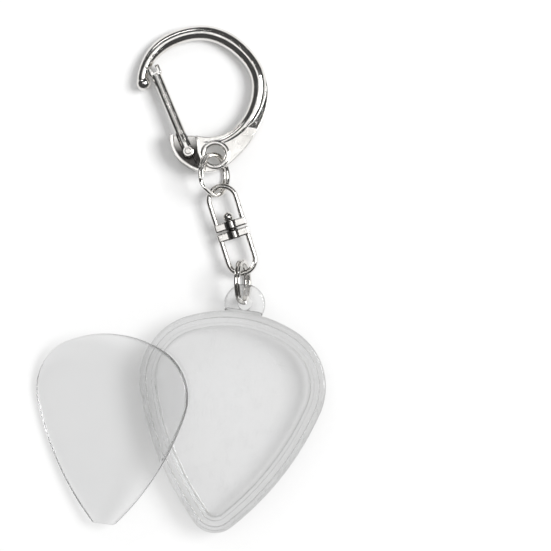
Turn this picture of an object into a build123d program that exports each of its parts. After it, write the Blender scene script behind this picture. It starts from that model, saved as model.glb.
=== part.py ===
# Pick holder: clear pocket case with a lift-off lid, hung from a spring-gate
# snap hook through two split rings and a swivel.  Millimetres, +Z up.
# The case lies flat on z = 0 with its centreline along +Y (ear and hook towards
# +Y); the lid lies beside it, propped on the case's left rim.
from build123d import *
import math
import os

os.makedirs("parts", exist_ok=True)

# ---------------------------------------------------------------- dimensions
# case outline: tangent arcs, symmetric about Y
CASE_TOP = 20.25            # y of the rounded end beside the ear
R_TOP, R_SHOULDER, R_SIDE, R_TIP = 24.0, 11.9, 54.4, 4.75
A_TOP, A_SHOULDER = 24.5, 105.8      # junction angles from +Y, degrees
CASE_T = 6.0                # overall thickness
STEP_IN, STEP_Z = 1.16, 5.6          # inner land of the rim, slightly lower
SEAT_IN, SEAT_Z = 2.15, 4.1          # recess that takes the lid
POCKET_IN, FLOOR_Z = 2.7, 1.2        # pocket for the picks
EDGE_R = 0.45

# ear with the ring hole
EAR_C, EAR_R = (0.0, 21.66), 3.75
EAR_HOLE_C, EAR_HOLE_R = (0.0, 21.94), 1.27
EAR_Z0, EAR_Z1 = 2.5, 4.3
ROOT_W, ROOT_Y0, ROOT_Y1, ROOT_Z1 = 6.3, 18.7, 20.55, 5.55

# lid
LID_IN, LID_T = 2.3, 1.5             # outline inset, thickness
LID_CUT_Y = -16.94                   # blunt tip
LID_EDGE_R = 0.35
LID_POS = (-20.83, -4.80, 3.70)
LID_ROT, LID_AXIS, LID_TILT = 3.73, 22.0, 18.1   # in-plane turn, direction of the tilt axis, tilt

# split rings: two-turn coils of flattened wire
RING_R, WIRE_RAD, WIRE_AX = 3.77, 0.74, 0.52
RING_GAP = 0.06
LOW_RING = dict(c=(-1.01, 25.65, 4.16), turn=9.3, tip=76.0, start=288.0)
UP_RING = dict(c=(-8.96, 44.19, 3.68), turn=12.05, tip=54.1, start=250.0)

# swivel
SW_C, SW_TURN = (-4.27, 34.81, 2.72), 25.9
YOKE_ARC_Y, YOKE_R, YOKE_WIRE = 5.72, 2.5, 0.5
PLATE_GAP, PLATE_T, PLATE_HALF = 0.15, 1.55, 3.0
BOSS_R = 1.15
RIVET_R, RIVET_RUN, RIVET_HEAD_R = 0.6, 0.06, 0.92

# hook, in its own frame: origin at the eye, +Y along the hook
HOOK_EYE = (-9.23, 47.80, 3.21)
HOOK_TURN, HOOK_TILT = 18.0, -4.7
EYE_R, EYE_LIP_R, EYE_LIP = 1.80, 2.66, 0.16
BASE_HALF = 1.05
CUP_HALF = 1.45
GATE_PIVOT, GATE_TIP = (-4.75, 1.5), (-8.55, 18.0)
GATE_W, GATE_Z0, GATE_Z1 = 1.85, -0.85, 1.15
PIN_R, PIN_RUN, PIN_HEAD_R = 0.42, 0.05, 0.62
SPRING_R, SPRING_WIRE, SPRING_PITCH, SPRING_TURNS = 0.6, 0.2, 0.3, 2


# ------------------------------------------------------------------- helpers
def pol(c, r, deg):
    a = math.radians(deg)
    return (c[0] + r * math.sin(a), c[1] + r * math.cos(a))


def outline_geometry(inset):
    r1, r2, r3, r4 = (r - inset for r in (R_TOP, R_SHOULDER, R_SIDE, R_TIP))
    c1 = (0.0, CASE_TOP - R_TOP)
    c2 = pol(c1, R_TOP - R_SHOULDER, A_TOP)
    c3 = pol(c2, -(R_SIDE - R_SHOULDER), A_SHOULDER)
    y4 = c3[1] - math.sqrt((R_SIDE - R_TIP) ** 2 - c3[0] ** 2)
    c4 = (0.0, y4)
    a3 = math.degrees(math.atan2(c4[0] - c3[0], c4[1] - c3[1]))
    return (r1, r2, r3, r4), (c1, c2, c3, c4), a3


def outline(inset, cut_y=None):
    """Closed outline of the case, moved inwards by inset; cut_y blunts the tip."""
    (r1, r2, r3, r4), (c1, c2, c3, c4), a3 = outline_geometry(inset)

    def mir(p):
        return (-p[0], p[1])

    p0 = pol(c1, r1, 0)
    p1 = pol(c1, r1, A_TOP)
    p2, m2 = pol(c2, r2, A_SHOULDER), pol(c2, r2, (A_TOP + A_SHOULDER) / 2)
    if cut_y is None:
        p3, m3 = pol(c3, r3, a3), pol(c3, r3, (A_SHOULDER + a3) / 2)
        end = [ThreePointArc(p3, pol(c4, r4, 180), mir(p3))]
    else:
        rc = 0.9
        cc = (c3[0] + math.sqrt((r3 - rc) ** 2 - (cut_y + rc - c3[1]) ** 2), cut_y + rc)
        ac = math.degrees(math.atan2(cc[0] - c3[0], cc[1] - c3[1]))
        p3, m3 = pol(c3, r3, ac), pol(c3, r3, (A_SHOULDER + ac) / 2)
        k, mk = (cc[0], cut_y), pol(cc, rc, (ac + 180) / 2)
        end = [ThreePointArc(p3, mk, k), Line(k, mir(k)), ThreePointArc(mir(k), mir(mk), mir(p3))]
    edges = [
        ThreePointArc(mir(p1), p0, p1),
        ThreePointArc(p1, m2, p2),
        ThreePointArc(p2, m3, p3),
        *end,
        ThreePointArc(mir(p3), mir(m3), mir(p2)),
        ThreePointArc(mir(p2), mir(m2), mir(p1)),
    ]
    return make_face(edges)


def slab(inset, z0, z1, cut_y=None):
    return Pos(0, 0, z0) * extrude(outline(inset, cut_y), z1 - z0)


def one(shape):
    s = shape.solids()
    return s[0] if len(s) == 1 else Compound(s)


# ---------------------------------------------------------------------- case
def make_case():
    body = slab(0, 0, CASE_T)
    top = body.edges().filter_by(lambda e: abs(e.center().Z - CASE_T) < 1e-6 and abs(e.bounding_box().size.Z) < 1e-6)
    bottom = body.edges().filter_by(lambda e: abs(e.center().Z) < 1e-6 and abs(e.bounding_box().size.Z) < 1e-6)
    body = fillet(top, EDGE_R)
    bottom = body.edges().filter_by(lambda e: abs(e.center().Z) < 1e-6 and abs(e.bounding_box().size.Z) < 1e-6)
    body = fillet(bottom, EDGE_R)
    # ear and its root on the end wall
    ear = Pos(EAR_C[0], EAR_C[1], EAR_Z0) * extrude(Circle(EAR_R), EAR_Z1 - EAR_Z0)
    keep = Pos(0, 30 + 18.4, 3) * Box(40, 60, 20)
    ear = ear & keep
    rim = ear.edges().filter_by(
        lambda e: e.geom_type == GeomType.CIRCLE and (abs(e.center().Z - EAR_Z0) < 1e-6 or abs(e.center().Z - EAR_Z1) < 1e-6)
    )
    ear = fillet(rim, 0.4)
    root = Pos(0, (ROOT_Y0 + ROOT_Y1) / 2, (EAR_Z0 - 0.6 + ROOT_Z1) / 2) * Box(
        ROOT_W, ROOT_Y1 - ROOT_Y0, ROOT_Z1 - (EAR_Z0 - 0.6)
    )
    outer = root.edges().filter_by(lambda e: e.center().Y > ROOT_Y1 - 1e-6 or abs(e.center().Z - ROOT_Z1) < 1e-6)
    root = fillet(outer.filter_by(lambda e: e.center().Y > ROOT_Y1 - 1e-6), 0.3)
    body = body + ear + root
    # rim step, lid seat and pocket
    body = body - slab(STEP_IN, STEP_Z, CASE_T + 1)
    body = body - slab(SEAT_IN, SEAT_Z, CASE_T + 1)
    pocket = slab(POCKET_IN, FLOOR_Z, CASE_T + 1)
    low = pocket.edges().filter_by(lambda e: abs(e.center().Z - FLOOR_Z) < 1e-6 and abs(e.bounding_box().size.Z) < 1e-6)
    pocket = fillet(low, 0.5)
    body = body - pocket
    hole = Pos(EAR_HOLE_C[0], EAR_HOLE_C[1], 3) * Cylinder(EAR_HOLE_R, 6)
    body = body - hole
    lips = body.edges().filter_by(
        lambda e: e.geom_type == GeomType.CIRCLE and abs(e.radius - EAR_HOLE_R) < 1e-4
    )
    try:
        body = fillet(lips, 0.18)
    except Exception:
        pass
    return one(body)


# ----------------------------------------------------------------------- lid
def lid_plane():
    rot, ax, t = math.radians(LID_ROT), math.radians(LID_AXIS), -math.radians(LID_TILT)
    k = (-math.sin(ax), math.cos(ax), 0.0)

    def turn(v):
        cr = (k[1] * v[2] - k[2] * v[1], k[2] * v[0] - k[0] * v[2], k[0] * v[1] - k[1] * v[0])
        d = sum(a * b for a, b in zip(k, v))
        return tuple(
            v[i] * math.cos(t) + cr[i] * math.sin(t) + k[i] * d * (1 - math.cos(t)) for i in range(3)
        )

    return Plane(origin=LID_POS, x_dir=turn((math.cos(rot), math.sin(rot), 0)), z_dir=turn((0, 0, 1)))


def make_lid():
    lid = slab(LID_IN, 0, LID_T, LID_CUT_Y)
    flat = lid.edges().filter_by(lambda e: abs(e.bounding_box().size.Z) < 1e-6)
    lid = fillet(flat, LID_EDGE_R)
    return one(lid_plane().location * lid)


# --------------------------------------------------------------------- rings
def make_ring(c, turn, tip, start):
    """Two-turn split ring, its ends at start; the turns stand apart a little on the +X side."""
    span, cross = 655.0, 50.0
    n = 66
    pts = []
    for i in range(n + 1):
        t = span * i / n
        a = math.radians(start + t)
        s = (t - (span - cross) / 2) / cross
        s = min(1.0, max(0.0, s))
        s = s * s * (3 - 2 * s)
        spread = WIRE_AX + RING_GAP + 0.20 * (0.5 + 0.5 * math.cos(a)) ** 2
        pts.append((RING_R * math.cos(a), RING_R * math.sin(a), spread * (s - 0.5)))
    path = Spline(*pts)
    a0 = math.radians(start)
    sec_plane = Plane(origin=pts[0], x_dir=(math.cos(a0), math.sin(a0), 0), z_dir=path % 0)
    sec = sec_plane * RectangleRounded(WIRE_RAD, WIRE_AX, 0.2)
    coil = sweep(sec, path=path)
    return one(Pos(*c) * Rot(0, 0, turn) * Rot(0, tip, 0) * coil)


# -------------------------------------------------------------------- swivel
def swivel_loc():
    return Pos(*SW_C) * Rot(0, 0, SW_TURN)


def make_yoke(sign, hole_r):
    """Loop on one side (sign) of the swivel's mid-plane, with its cross barrel."""
    y0, y1 = PLATE_GAP, PLATE_GAP + PLATE_T
    ym = (y0 + y1) / 2
    path = (
        Line((YOKE_R, ym), (YOKE_R, YOKE_ARC_Y))
        + ThreePointArc((YOKE_R, YOKE_ARC_Y), (0, YOKE_ARC_Y + YOKE_R), (-YOKE_R, YOKE_ARC_Y))
        + Line((-YOKE_R, YOKE_ARC_Y), (-YOKE_R, ym))
    )
    loop = sweep(Plane(origin=(YOKE_R, ym, 0), z_dir=(0, 1, 0)) * Circle(YOKE_WIRE), path=path)
    plate = Pos(0, ym, 0) * Box(2 * PLATE_HALF, PLATE_T, 1.15)
    plate = fillet(plate.edges(), 0.3)
    boss = Pos(0, ym, 0) * Rot(90, 0, 0) * Cylinder(BOSS_R, PLATE_T)
    boss = fillet(boss.edges().filter_by(GeomType.CIRCLE), 0.22)
    yoke = plate + boss + loop
    yoke = yoke - Pos(0, ym, 0) * Rot(90, 0, 0) * Cylinder(hole_r, 4)
    if sign < 0:
        yoke = Rot(0, 0, 180) * yoke
    return one(swivel_loc() * yoke)


def make_rivet():
    y0, y1 = -(PLATE_GAP + PLATE_T), PLATE_GAP + PLATE_T + 0.07
    shank = Pos(0, (y0 + y1 + 0.5) / 2, 0) * Rot(90, 0, 0) * Cylinder(RIVET_R, y1 - y0 + 0.5)
    head = Pos(0, y1 + RIVET_HEAD_R * 0.72, 0) * Sphere(RIVET_HEAD_R)
    head = head & Pos(0, y1 + 5, 0) * Box(10, 10, 10)
    collar = Pos(0, 0, 0) * Rot(90, 0, 0) * Cylinder(RIVET_R + 0.35, 2 * PLATE_GAP - 0.08)
    return one(swivel_loc() * (shank + head + collar))


# ---------------------------------------------------------------------- hook
def hook_loc():
    return Pos(*HOOK_EYE) * Rot(0, 0, HOOK_TURN) * Rot(HOOK_TILT, 0, 0)


# centreline of the round bar from the base round to the nose: x, y, width, height
BAR = [
    (-2.6, 2.75, 1.5, 1.9), (-0.6, 2.25, 1.9, 2.2), (1.9, 2.25, 2.1, 2.3), (4.5, 3.25, 2.3, 2.45), (6.9, 5.05, 2.45, 2.55),
    (8.85, 7.7, 2.55, 2.6), (9.98, 10.8, 2.65, 2.6), (10.1, 13.3, 2.7, 2.6), (9.45, 15.6, 2.75, 2.6),
    (8.35, 17.6, 2.8, 2.6), (6.95, 19.4, 2.85, 2.6), (5.1, 21.05, 2.85, 2.6), (2.9, 22.25, 2.8, 2.6),
    (0.4, 22.82, 2.72, 2.6), (-2.1, 22.8, 2.7, 2.6), (-4.6, 22.28, 2.68, 2.55), (-6.8, 21.3, 2.6, 2.5),
    (-8.6, 19.88, 2.35, 2.4), (-9.95, 18.2, 2.05, 2.3), (-10.78, 16.4, 1.9, 2.2), (-10.95, 15.25, 1.95, 2.2),
]
BASE_OUTER = [
    (11.2, 13.5), (11.46, 12.2), (11.47, 10.8), (11.08, 8.35), (10.18, 5.92), (8.91, 3.92), (7.5, 2.13), (5.94, 0.55), (4.23, -0.82),
    (2.57, -1.91), (0.97, -2.62), (-1.1, -2.92), (-3.0, -2.72),
]
CUP_OUTER = [(-3.0, -2.72), (-4.3, -2.1), (-5.6, -1.05), (-6.82, 0.34), (-7.55, 2.2), (-7.72, 3.8), (-7.5, 5.1)]
BASE_INNER = [
    (-3.35, 4.35), (-2.6, 3.95), (-0.76, 3.4), (1.63, 3.36), (3.56, 3.86), (5.6, 5.0), (7.13, 6.4), (8.3, 8.2), (9.1, 10.4), (9.7, 12.9),
]
# the web keeps its full thickness up to THIN_FROM and thins to THIN_HALF at THIN_TO
THIN_FROM, THIN_TO, THIN_HALF = (8.4, 3.4), (11.5, 12.4), 0.28


def make_hook():
    secs = []
    n = len(BAR)
    for i, (x, y, w, h) in enumerate(BAR):
        a, b = BAR[max(0, i - 1)], BAR[min(n - 1, i + 1)]
        tx, ty = b[0] - a[0], b[1] - a[1]
        d = math.hypot(tx, ty)
        tx, ty = tx / d, ty / d
        pl = Plane(origin=(x, y, 0), x_dir=(ty, -tx, 0), z_dir=(tx, ty, 0))
        secs.append(pl * Ellipse(w / 2, h / 2))
    bar = loft(secs)
    # rounded nose, turned in towards the gate
    nose = Pos(-10.72, 15.28, 0) * Sphere(1.32)
    # flat base web with the eye
    web = make_face([
        Spline(*BASE_OUTER), Line(BASE_OUTER[-1], (-3.35, 4.35)), Spline(*BASE_INNER), Line(BASE_INNER[-1], BASE_OUTER[0]),
    ])
    web = Pos(0, 0, -BASE_HALF) * extrude(web, 2 * BASE_HALF)
    edge = web.edges().filter_by(lambda e: abs(abs(e.center().Z) - BASE_HALF) < 1e-6 and e.center().Y < 2.0 and e.center().X > -1)
    try:
        web = fillet(edge, 0.55)
    except Exception:
        pass
    dx, dy = THIN_TO[0] - THIN_FROM[0], THIN_TO[1] - THIN_FROM[1]
    run, drop = math.hypot(dx, dy), BASE_HALF - THIN_HALF
    for s in (1, -1):
        slope = Plane(
            origin=(THIN_FROM[0], THIN_FROM[1], s * BASE_HALF),
            x_dir=(dx, dy, -s * drop),
            z_dir=(dx / run * drop, dy / run * drop, s * run),
        )
        web = web - slope * Pos(15, 0, 5) * Box(34, 60, 10)
    # cup round the gate's pivot: thin outer wall, thin back wall, open in front
    cup = make_face([
        Spline(*CUP_OUTER), Line(CUP_OUTER[-1], (-3.35, 4.35)), Line((-3.35, 4.35), (-2.6, 3.3)),
        Line((-2.6, 3.3), (-2.55, -0.9)), Line((-2.55, -0.9), (-2.8, -2.55)), Line((-2.8, -2.55), CUP_OUTER[0]),
    ])
    cup = Pos(0, 0, -CUP_HALF) * extrude(cup, 2 * CUP_HALF)
    lip = Pos(0, 0, 0) * Cylinder(EYE_LIP_R, 2 * (BASE_HALF + EYE_LIP))
    lip = fillet(lip.edges().filter_by(GeomType.CIRCLE), 0.3)
    body = bar + nose + web + cup + lip
    # pocket for the gate's foot and spring
    pocket = make_face([
        Spline((-3.2, -2.05), (-4.1, -1.55), (-5.25, -0.6), (-6.3, 0.65), (-6.98, 2.35), (-7.14, 3.8), (-6.9, 5.3)),
        Line((-6.9, 5.3), (-7.2, 7.0)), Line((-7.2, 7.0), (-2.4, 7.0)), Line((-2.4, 7.0), (-2.9, 4.0)),
        Line((-2.9, 4.0), (-3.1, 0.9)), Line((-3.1, 0.9), (-2.75, -0.6)), Line((-2.75, -0.6), (-3.2, -2.05)),
    ])
    pocket = Pos(0, 0, GATE_Z0 - 0.07) * extrude(pocket, 5)
    body = body - pocket
    # notch in the nose that the gate's forked tip closes into
    length, ang = gate_frame()
    notch = Pos(0, length - 0.9, 0) * Box(2.3 + 0.3, 2.2, 6)
    body = body - Pos(GATE_PIVOT[0], GATE_PIVOT[1], 0) * Rot(0, 0, ang) * notch
    body = body - Cylinder(EYE_R, 8)
    eye_edges = body.edges().filter_by(lambda e: e.geom_type == GeomType.CIRCLE and abs(e.radius - EYE_R) < 1e-4)
    try:
        body = fillet(eye_edges, 0.3)
    except Exception:
        pass
    body = body - Pos(GATE_PIVOT[0], GATE_PIVOT[1], 0) * Cylinder(PIN_R, 8)
    return body


def gate_frame():
    dx, dy = GATE_TIP[0] - GATE_PIVOT[0], GATE_TIP[1] - GATE_PIVOT[1]
    return math.hypot(dx, dy), -math.degrees(math.atan2(dx, dy))


def make_gate():
    """Die-cast gate along local +Y from its pivot, grooved faces, forked tip."""
    length, ang = gate_frame()
    zc, h = (GATE_Z0 + GATE_Z1) / 2, GATE_Z1 - GATE_Z0
    bar = Pos(0, (length - 0.6) / 2, 0) * Box(GATE_W, length - 0.6, h)
    bar = fillet(bar.edges().filter_by(Axis.Y), 0.72)
    foot = Cylinder(1.12, h)
    foot = fillet(foot.edges().filter_by(GeomType.CIRCLE), 0.25)
    tip = Pos(0, length - 0.9, 0) * Box(2.3, 1.8, h)
    tip = fillet(tip.edges(), 0.3)
    g = bar + foot + tip
    g = g - Pos(0, length, 0) * Box(0.75, 2.2, h + 1)
    for s in (-1, 1):
        groove = Pos(0.05, length / 2 + 0.1, s * h / 2) * Box(0.36, length - 3.4, 0.5)
        g = g - groove
    # slot for the spring's coil and a channel for its upper leg
    g = g - Cylinder(1.6, 1.04)
    g = g - Pos(0.45 + 0.4, 1.6, 0) * Box(0.8, 3.2, 1.04)
    g = g - Cylinder(PIN_R + PIN_RUN, 8)
    return Pos(GATE_PIVOT[0], GATE_PIVOT[1], zc) * Rot(0, 0, ang) * g


def make_pin():
    z0, z1 = -CUP_HALF, GATE_Z1 + 0.05
    shank = Pos(GATE_PIVOT[0], GATE_PIVOT[1], (z0 + z1 + 0.1) / 2) * Cylinder(PIN_R, z1 - z0 + 0.1)
    head = Pos(GATE_PIVOT[0], GATE_PIVOT[1], z1 + 0.14) * Cylinder(PIN_HEAD_R, 0.28)
    head = fillet(head.edges().filter_by(GeomType.CIRCLE).filter_by(lambda e: e.center().Z > z1 + 0.2), 0.15)
    return shank + head


def make_spring():
    """Torsion spring round the pin: one leg in the gate, one on the cup's wall."""
    length, ang = gate_frame()
    zc = (GATE_Z0 + GATE_Z1) / 2
    r, wire, z0 = SPRING_R, SPRING_WIRE / 2, -SPRING_PITCH * SPRING_TURNS / 2
    pts = [(r, -3.2, z0), (r, -2.4, z0), (r, -1.6, z0), (r, -0.8, z0), (r, -0.3, z0)]
    n = 16 * SPRING_TURNS
    for i in range(n + 1):
        a = 2 * math.pi * SPRING_TURNS * i / n
        pts.append((r * math.cos(a), r * math.sin(a), z0 + SPRING_PITCH * SPRING_TURNS * i / n))
    pts += [(r, 0.3, -z0), (r, 0.8, -z0), (r, 1.6, -z0), (r, 2.3, -z0), (r, 2.9, -z0)]
    path = Spline(*pts, tangents=[(0, 1, 0), (0, 1, 0)])
    wire = sweep(Plane(origin=pts[0], z_dir=(0, 1, 0)) * Circle(wire), path=path)
    return Pos(GATE_PIVOT[0], GATE_PIVOT[1], zc) * Rot(0, 0, ang) * wire


def export(name, shape):
    export_step(shape, "parts/" + name + ".step")
    bb = shape.bounding_box()
    print(name, "solids", len(shape.solids()), "vol %.2f" % shape.volume,
          "box", [round(v, 2) for v in (bb.min.X, bb.min.Y, bb.min.Z, bb.max.X, bb.max.Y, bb.max.Z)])


H = hook_loc()
export("case_body", make_case())
export("case_lid", make_lid())
export("lower_ring", make_ring(**LOW_RING))
export("upper_ring", make_ring(**UP_RING))
export("swivel_lower_yoke", make_yoke(-1, RIVET_R))
export("swivel_upper_yoke", make_yoke(1, RIVET_R + RIVET_RUN))
export("swivel_rivet", make_rivet())
export("hook_body", one(H * make_hook()))
export("hook_gate", one(H * make_gate()))
export("gate_pin", one(H * make_pin()))
export("gate_spring", one(H * make_spring()))
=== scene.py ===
import math

import bpy
from mathutils import Matrix, Vector

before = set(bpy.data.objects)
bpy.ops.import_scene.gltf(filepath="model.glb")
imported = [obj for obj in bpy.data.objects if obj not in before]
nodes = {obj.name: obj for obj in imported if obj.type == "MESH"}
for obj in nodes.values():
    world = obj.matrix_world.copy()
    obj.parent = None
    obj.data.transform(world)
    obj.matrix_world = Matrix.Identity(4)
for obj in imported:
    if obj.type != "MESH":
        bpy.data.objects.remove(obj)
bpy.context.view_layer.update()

MM = 0.001
scene = bpy.context.scene


# ------------------------------------------------------------------ node helpers
class Tree:
    """A material's node tree with short ways to add and join nodes."""

    def __init__(self, name):
        self.mat = bpy.data.materials.new(name)
        self.mat.use_nodes = True
        self.nt = self.mat.node_tree
        self.nt.nodes.clear()
        self.out = self.nt.nodes.new("ShaderNodeOutputMaterial")
        self.coord = self.nt.nodes.new("ShaderNodeTexCoord").outputs["Object"]

    def node(self, kind, **inputs):
        n = self.nt.nodes.new(kind)
        for key, value in inputs.items():
            self.put(n, key, value)
        return n

    def put(self, n, key, value):
        sock = n.inputs[int(key[1:])] if key[0] == "i" and key[1:].isdigit() else n.inputs[key.replace("_", " ")]
        if isinstance(value, bpy.types.NodeSocket):
            self.nt.links.new(value, sock)
        else:
            sock.default_value = value

    def mapped(self, scale, turn=(0, 0, 0), shift=(0, 0, 0)):
        n = self.node("ShaderNodeMapping", Vector=self.coord)
        n.inputs["Scale"].default_value = scale
        n.inputs["Rotation"].default_value = tuple(math.radians(a) for a in turn)
        n.inputs["Location"].default_value = shift
        return n.outputs["Vector"]

    def noise(self, scale, detail=4.0, rough=0.55, vector=None, distortion=0.0):
        n = self.node("ShaderNodeTexNoise", Scale=scale, Detail=detail, Roughness=rough, Distortion=distortion)
        self.nt.links.new(vector or self.coord, n.inputs["Vector"])
        return n.outputs["Fac"]

    def ramp(self, fac, stops, interpolation="LINEAR"):
        n = self.nt.nodes.new("ShaderNodeValToRGB")
        n.color_ramp.interpolation = interpolation
        els = n.color_ramp.elements
        while len(els) > 1:
            els.remove(els[-1])
        for i, (pos, col) in enumerate(stops):
            if not isinstance(col, (tuple, list)):
                col = (col, col, col)
            e = els[0] if i == 0 else els.new(pos)
            e.position = pos
            e.color = (col[0], col[1], col[2], 1.0)
        self.nt.links.new(fac, n.inputs["Fac"])
        return n.outputs["Color"]

    def math(self, op, a, b=0.0, clamp=False):
        n = self.nt.nodes.new("ShaderNodeMath")
        n.operation = op
        n.use_clamp = clamp
        for i, v in enumerate((a, b)):
            if isinstance(v, bpy.types.NodeSocket):
                self.nt.links.new(v, n.inputs[i])
            else:
                n.inputs[i].default_value = v
        return n.outputs[0]

    def range(self, v, a, b, c, d):
        n = self.nt.nodes.new("ShaderNodeMapRange")
        self.nt.links.new(v, n.inputs["Value"])
        for key, value in (("From Min", a), ("From Max", b), ("To Min", c), ("To Max", d)):
            n.inputs[key].default_value = value
        return n.outputs["Result"]

    def mix(self, fac, a, b):
        n = self.nt.nodes.new("ShaderNodeMix")
        n.data_type = "RGBA"
        self.put(n, "i0", fac)
        self.put(n, "i6", a)
        self.put(n, "i7", b)
        return n.outputs[2]

    def bump(self, height, distance, strength=1.0, normal=None):
        n = self.node("ShaderNodeBump", Height=height, Distance=distance, Strength=strength)
        if normal is not None:
            self.nt.links.new(normal, n.inputs["Normal"])
        return n.outputs["Normal"]

    def scratches(self, count, width, turns, lengths=26.0):
        """Sparse fine straight marks: thresholded noise stretched along a few directions."""
        total = None
        for i, turn in enumerate(turns):
            v = self.mapped((count, count / lengths, count / lengths), turn=(0, 0, turn), shift=(3.1 * i, 1.7 * i, 0.9 * i))
            n = self.noise(1.0, detail=2.0, rough=0.5, vector=v)
            line = self.range(self.math("ABSOLUTE", self.math("SUBTRACT", n, 0.5 + 0.045 * (i % 3))), 0.0, width, 1.0, 0.0)
            gate = self.range(self.noise(210.0 + 60 * i, detail=1.0, vector=self.mapped((1, 1, 1), shift=(0.02 * i, 0.03, 0))), 0.56, 0.64, 0.0, 1.0)
            m = self.math("MULTIPLY", line, gate)
            total = m if total is None else self.math("MAXIMUM", total, m)
        return total


# --------------------------------------------------------------------- materials
def clear_plastic(name, tint, haze, wave, speck_seed, loss, wall_painted_shade, wall_loss, soft, frost):
    """Moulded clear polystyrene: slow surface waviness, fine hairlines, a few specks."""
    t = Tree(name)
    fine = t.noise(900.0, detail=5.0)
    slow = t.noise(95.0, detail=2.0, vector=t.mapped((1, 1, 1), shift=(speck_seed, 0, 0)))
    hair = t.scratches(5200.0, 0.012, (12, 58, -37, 95, -72))
    vor = t.node("ShaderNodeTexVoronoi", Scale=330.0, Vector=t.mapped((1, 1, 1), shift=(speck_seed * 3, 0.01, 0)))
    sparse = t.range(t.noise(160.0, detail=1.0, vector=t.mapped((1, 1, 1), shift=(0, speck_seed, 0))), 0.6, 0.66, 0.0, 1.0)
    speck = t.math("MULTIPLY", t.range(vor.outputs["Distance"], 0.035, 0.07, 1.0, 0.0), sparse)
    mark = t.math("MAXIMUM", hair, speck)
    rough = t.math("ADD", t.range(slow, 0.3, 0.7, haze * 0.45, haze), t.math("MULTIPLY", mark, 0.22))
    rough = t.math("ADD", rough, t.range(fine, 0.45, 0.75, 0.0, 0.015))
    col = t.mix(t.range(slow, 0.35, 0.65, 0.0, 1.0), tint, tuple(c * k for c, k in zip(tint[:3], (0.992, 0.994, 0.997))) + (1.0,))
    col = t.mix(t.math("MULTIPLY", mark, 0.35), col, (0.80, 0.80, 0.79, 1.0))
    facing = t.nt.nodes.new("ShaderNodeSeparateXYZ")
    t.nt.links.new(t.nt.nodes.new("ShaderNodeNewGeometry").outputs["True Normal"], facing.inputs[0])
    upright = t.range(t.math("ABSOLUTE", facing.outputs["Z"]), 0.30, 0.97, 1.0, 0.0)
    # painted shade: upright walls and edge fillets are mixed to the darker wall colour, which draws dark outlines round
    # the plastic
    col = t.mix(upright, col, wall_painted_shade)
    rough = t.math("ADD", rough, t.math("MULTIPLY", upright, frost))
    round_edges = t.nt.nodes.new("ShaderNodeBevel")
    round_edges.samples = 6
    round_edges.inputs["Radius"].default_value = soft
    n1 = t.bump(slow, wave, 1.0, round_edges.outputs["Normal"])
    n2 = t.bump(mark, 0.000012, 0.6, n1)
    b = t.node("ShaderNodeBsdfPrincipled", Base_Color=col, Roughness=rough, Normal=n2)
    b.inputs["Transmission Weight"].default_value = 1.0
    b.inputs["IOR"].default_value = 1.49
    b.inputs["Specular IOR Level"].default_value = 0.5
    # lamps reach the floor through the plastic with the loss of two surfaces
    path = t.nt.nodes.new("ShaderNodeLightPath")
    clear = t.nt.nodes.new("ShaderNodeBsdfTransparent")
    t.nt.links.new(t.mix(upright, (loss, loss, loss, 1.0), (wall_loss, wall_loss, wall_loss * 0.995, 1.0)), clear.inputs["Color"])
    mixer = t.nt.nodes.new("ShaderNodeMixShader")
    t.nt.links.new(t.math("MAXIMUM", path.outputs["Is Shadow Ray"], path.outputs["Is Diffuse Ray"]), mixer.inputs[0])
    t.nt.links.new(b.outputs[0], mixer.inputs[1])
    t.nt.links.new(clear.outputs[0], mixer.inputs[2])
    t.nt.links.new(mixer.outputs[0], t.out.inputs["Surface"])
    return t.mat


def place(t, origin, turn):
    """Coordinates in mm about a point of the row frame, turned about Z."""
    a = math.radians(-turn)
    x, y, z = (c * MM for c in origin)
    n = t.node("ShaderNodeMapping", Vector=t.coord)
    n.inputs["Rotation"].default_value = (0, 0, a)
    n.inputs["Location"].default_value = (-(math.cos(a) * x - math.sin(a) * y), -(math.sin(a) * x + math.cos(a) * y), -z)
    s = t.nt.nodes.new("ShaderNodeSeparateXYZ")
    t.nt.links.new(n.outputs["Vector"], s.inputs[0])
    return [t.math("MULTIPLY", s.outputs[i], 1000.0) for i in range(3)]


def between(t, v, a, b, soft):
    return t.math("MULTIPLY", t.range(v, a, a + soft, 0.0, 1.0), t.range(v, b - soft, b, 1.0, 0.0))


def recess_painted_shade(t):
    """Painted shade: the dark bottom of the pocket beside the gate's foot."""
    x, y, z = place(t, (-9.23, 47.80, 3.21), 18.0)
    m = t.math("MULTIPLY", between(t, x, -7.35, -2.35, 0.3), between(t, y, -2.45, 5.0, 0.4))
    return t.math("MULTIPLY", m, between(t, z, -1.32, 0.75, 0.25))


def boss_painted_reflection(t):
    """Painted dark reflection on the barrel round the swivel's rivet."""
    x, y, z = place(t, (-4.27, 34.81, 2.72), 25.9)
    r = t.math("SQRT", t.math("ADD", t.math("MULTIPLY", x, x), t.math("MULTIPLY", z, z)))
    return t.math("MULTIPLY", t.range(r, 1.12, 1.24, 1.0, 0.0), between(t, y, -1.95, 1.75, 0.08))


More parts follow.
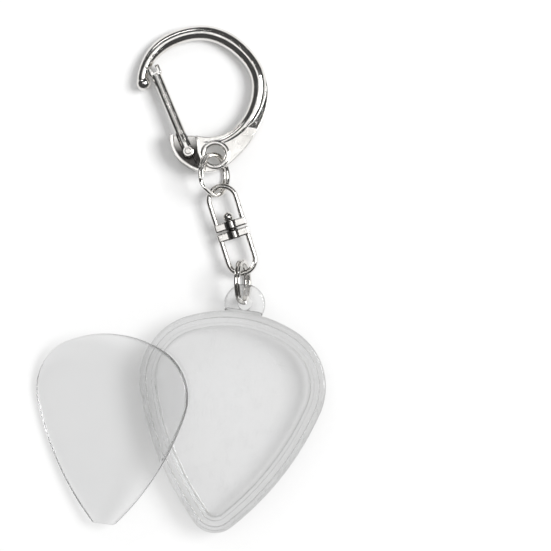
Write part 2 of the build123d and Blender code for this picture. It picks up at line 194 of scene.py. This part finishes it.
def plated(name, base, dark, rough_lo, rough_hi, cast, soft, grain_turn=0.0, painted_darkening=None):
    """Bright nickel plate over cast zinc or wire: faint orange peel, rub marks, dull low spots."""
    t = Tree(name)
    peel = t.noise(1500.0, detail=3.0)
    slow = t.noise(240.0, detail=3.0)
    rub = t.scratches(9000.0, 0.014, (grain_turn, grain_turn + 40, grain_turn - 63, grain_turn + 104), lengths=18.0)
    geo = t.nt.nodes.new("ShaderNodeNewGeometry")
    edge = t.range(geo.outputs["Pointiness"], 0.52, 0.60, 0.0, 1.0)
    pit = t.range(t.node("ShaderNodeTexVoronoi", Scale=900.0, Vector=t.coord).outputs["Distance"], 0.03, 0.09, 1.0, 0.0)
    pit = t.math("MULTIPLY", pit, t.range(t.noise(420.0, detail=1.0), 0.58, 0.66, 0.0, 1.0))
    col = t.mix(t.range(slow, 0.38, 0.68, 0.0, 1.0), base, dark)
    col = t.mix(t.math("MULTIPLY", pit, 0.55), col, tuple(c * 0.45 for c in dark[:3]) + (1.0,))
    col = t.mix(t.math("MULTIPLY", edge, 0.35), col, (0.93, 0.915, 0.89, 1.0))
    rough = t.range(slow, 0.35, 0.7, rough_lo, rough_hi)
    # painted shade in the hook's pocket and painted dark reflection on the swivel barrels: the masked area is mixed to
    # near black and made rougher
    if painted_darkening is not None:
        m = painted_darkening(t)
        patch = t.math("MULTIPLY", m, t.range(peel, 0.3, 0.75, 0.995, 0.94))
        col = t.mix(patch, col, (0.040, 0.037, 0.035, 1))
        rough = t.math("ADD", rough, t.math("MULTIPLY", m, 0.12))
    rough = t.math("ADD", rough, t.math("MULTIPLY", rub, 0.16))
    rough = t.math("ADD", rough, t.math("MULTIPLY", edge, 0.06))
    rough = t.math("ADD", rough, t.math("MULTIPLY", pit, 0.2))
    round_edges = t.nt.nodes.new("ShaderNodeBevel")
    round_edges.samples = 6
    round_edges.inputs["Radius"].default_value = soft
    n1 = t.bump(peel, cast, 1.0, round_edges.outputs["Normal"])
    n2 = t.bump(slow, cast * 1.5, 1.0, n1)
    n3 = t.bump(t.math("ADD", rub, pit), -0.000006, 0.6, n2)
    b = t.node("ShaderNodeBsdfPrincipled", Base_Color=col, Roughness=rough, Normal=n3)
    b.inputs["Metallic"].default_value = 1.0
    t.nt.links.new(b.outputs[0], t.out.inputs["Surface"])
    return t.mat


def spring_wire(name):
    t = Tree(name)
    grain = t.noise(1.0, detail=3.0, vector=t.mapped((9000, 9000, 1500)))
    slow = t.noise(500.0, detail=3.0)
    col = t.mix(slow, (0.42, 0.41, 0.40, 1), (0.30, 0.285, 0.27, 1))
    rough = t.range(grain, 0.3, 0.7, 0.22, 0.40)
    b = t.node("ShaderNodeBsdfPrincipled", Base_Color=col, Roughness=rough, Normal=t.bump(grain, 0.000006))
    b.inputs["Metallic"].default_value = 1.0
    t.nt.links.new(b.outputs[0], t.out.inputs["Surface"])
    return t.mat


# the second colour of each plastic is painted shade for its upright walls and edge fillets
case_mat = clear_plastic("clear_case_plastic", (0.875, 0.875, 0.875, 1.0), 0.03, 0.000010, 0.13, 0.92, (0.56, 0.56, 0.555, 1.0), 0.70, 0.00024, 0.0)
lid_mat = clear_plastic("clear_lid_plastic", (0.928, 0.929, 0.929, 1.0), 0.05, 0.000010, 0.37, 0.915, (0.90, 0.90, 0.895, 1.0), 0.62, 0.00016, 0.30)
# the hook's nickel carries painted shade in the pocket beside the gate's foot
cast_mat = plated("nickel_on_cast_zinc", (0.84, 0.825, 0.80, 1), (0.74, 0.72, 0.69, 1), 0.05, 0.13, 0.0000012, 0.00022, painted_darkening=recess_painted_shade)
wire_mat = plated("nickel_on_wire", (0.80, 0.785, 0.76, 1), (0.68, 0.66, 0.63, 1), 0.06, 0.15, 0.0000010, 0.00010, 30.0)
# the swivel's nickel carries a painted dark reflection on the barrels round the rivet
swivel_mat = plated("nickel_on_swivel", (0.80, 0.785, 0.76, 1), (0.68, 0.66, 0.63, 1), 0.06, 0.15, 0.0000010, 0.00010, 26.0, painted_darkening=boss_painted_reflection)
spring_mat = spring_wire("spring_steel_wire")

USE = {
    "case_body": case_mat,
    "case_lid": lid_mat,
    "hook_body": cast_mat,
    "hook_gate": cast_mat,
    "lower_ring": wire_mat,
    "upper_ring": wire_mat,
    "swivel_lower_yoke": swivel_mat,
    "swivel_upper_yoke": swivel_mat,
    "swivel_rivet": swivel_mat,
    "gate_pin": wire_mat,
    "gate_spring": spring_mat,
}
for name, mat in USE.items():
    o = nodes[name]
    if len(o.material_slots) == 0:
        o.data.materials.append(mat)
    for s in o.material_slots:
        s.material = mat


# ------------------------------------------------------------------------- stage
def floor_mesh(radius, rings=24, segs=96):
    verts, faces = [(0.0, 0.0, 0.0)], []
    for i in range(1, rings + 1):
        r = radius * (i / rings) ** 2
        for k in range(segs):
            a = 2 * math.pi * k / segs
            verts.append((r * math.cos(a), r * math.sin(a), 0.0))
    for k in range(segs):
        faces.append((0, 1 + k, 1 + (k + 1) % segs))
    for i in range(rings - 1):
        for k in range(segs):
            a, b = 1 + i * segs + k, 1 + i * segs + (k + 1) % segs
            faces.append((a, a + segs, b + segs, b))
    me = bpy.data.meshes.new("floor")
    me.from_pydata(verts, [], faces)
    me.update()
    return me


floor = bpy.data.objects.new("floor", floor_mesh(2.5))
floor.location = (0, 0, -0.00005)
scene.collection.objects.link(floor)
t = Tree("paper_floor")
fibre = t.noise(700.0, detail=4.0)
b = t.node("ShaderNodeBsdfPrincipled", Base_Color=t.mix(fibre, (0.925, 0.925, 0.925, 1), (0.945, 0.945, 0.943, 1)),
           Roughness=t.range(fibre, 0.3, 0.7, 0.75, 0.9))
b.inputs["Specular IOR Level"].default_value = 0.15
t.nt.links.new(b.outputs[0], t.out.inputs["Surface"])
floor.data.materials.append(t.mat)

AIM = Vector((4.81 * MM, 27.69 * MM, 3 * MM))


def softbox(name, azimuth, off_zenith, distance, w, h, radiance, spin=0.0):
    """A rectangular soft light; azimuth is measured from +X towards +Y."""
    d = bpy.data.lights.new(name, "AREA")
    d.shape = "RECTANGLE"
    d.size, d.size_y = w, h
    d.energy = radiance * math.pi * w * h
    o = bpy.data.objects.new(name, d)
    a, z = math.radians(azimuth), math.radians(off_zenith)
    direction = Vector((math.sin(z) * math.cos(a), math.sin(z) * math.sin(a), math.cos(z)))
    o.location = AIM + direction * distance
    o.rotation_euler = (-direction).to_track_quat("-Z", "Y").to_euler()
    scene.collection.objects.link(o)
    return o


softbox("key_soft", 8.3 + 12, 36, 1.5, 0.68, 0.68, 11.0)
softbox("top_soft", 8.3 + 92, 5, 1.7, 0.76, 0.76, 1.15)
softbox("back_soft", 8.3 + 115, 52, 1.6, 0.8, 0.18, 4.0)

world = bpy.data.worlds.new("studio")
scene.world = world
world.use_nodes = True
nt = world.node_tree
nt.nodes.clear()
wo = nt.nodes.new("ShaderNodeOutputWorld")
bg = nt.nodes.new("ShaderNodeBackground")
bg.inputs["Color"].default_value = (0.30, 0.30, 0.305, 1)
bg.inputs["Strength"].default_value = 0.22
room = nt.nodes.new("ShaderNodeBackground")
room.inputs["Color"].default_value = (0.50, 0.50, 0.50, 1)
room.inputs["Strength"].default_value = 0.95
pale = nt.nodes.new("ShaderNodeBackground")
pale.inputs["Color"].default_value = (0.93, 0.93, 0.93, 1)
path = nt.nodes.new("ShaderNodeLightPath")
mx = nt.nodes.new("ShaderNodeMixShader")
mirror = nt.nodes.new("ShaderNodeMath")
mirror.operation = "MAXIMUM"
nt.links.new(path.outputs["Is Glossy Ray"], mirror.inputs[0])
nt.links.new(path.outputs["Is Transmission Ray"], mirror.inputs[1])
mx2 = nt.nodes.new("ShaderNodeMixShader")
nt.links.new(mirror.outputs[0], mx2.inputs[0])
nt.links.new(room.outputs[0], mx2.inputs[1])
nt.links.new(bg.outputs[0], mx2.inputs[2])
nt.links.new(path.outputs["Is Camera Ray"], mx.inputs[0])
nt.links.new(mx2.outputs[0], mx.inputs[1])
nt.links.new(pale.outputs[0], mx.inputs[2])
nt.links.new(mx.outputs[0], wo.inputs["Surface"])

# ------------------------------------------------------------------------ camera
TURN = math.radians(8.293)
WIDE = 100.2 * MM
AWAY = 0.52
cam_data = bpy.data.cameras.new("camera")
cam_data.sensor_width = 36.0
cam_data.lens = 36.0 * AWAY / WIDE
cam_data.clip_start = 0.01
cam_data.clip_end = 20.0
cam = bpy.data.objects.new("camera", cam_data)
cam.location = (AIM.x, AIM.y, 5 * MM + AWAY)
cam.rotation_euler = (0.0, 0.0, TURN)
scene.collection.objects.link(cam)
scene.camera = cam

scene.view_settings.view_transform = "Standard"
scene.view_settings.look = "None"
scene.view_settings.exposure = 0.0
scene.cycles.max_bounces = 18
scene.cycles.transmission_bounces = 16
scene.cycles.transparent_max_bounces = 24
scene.cycles.glossy_bounces = 8
scene.cycles.diffuse_bounces = 4
scene.cycles.use_denoising = True
scene.cycles.sample_clamp_indirect = 6.0
scene.cycles.seed = 7
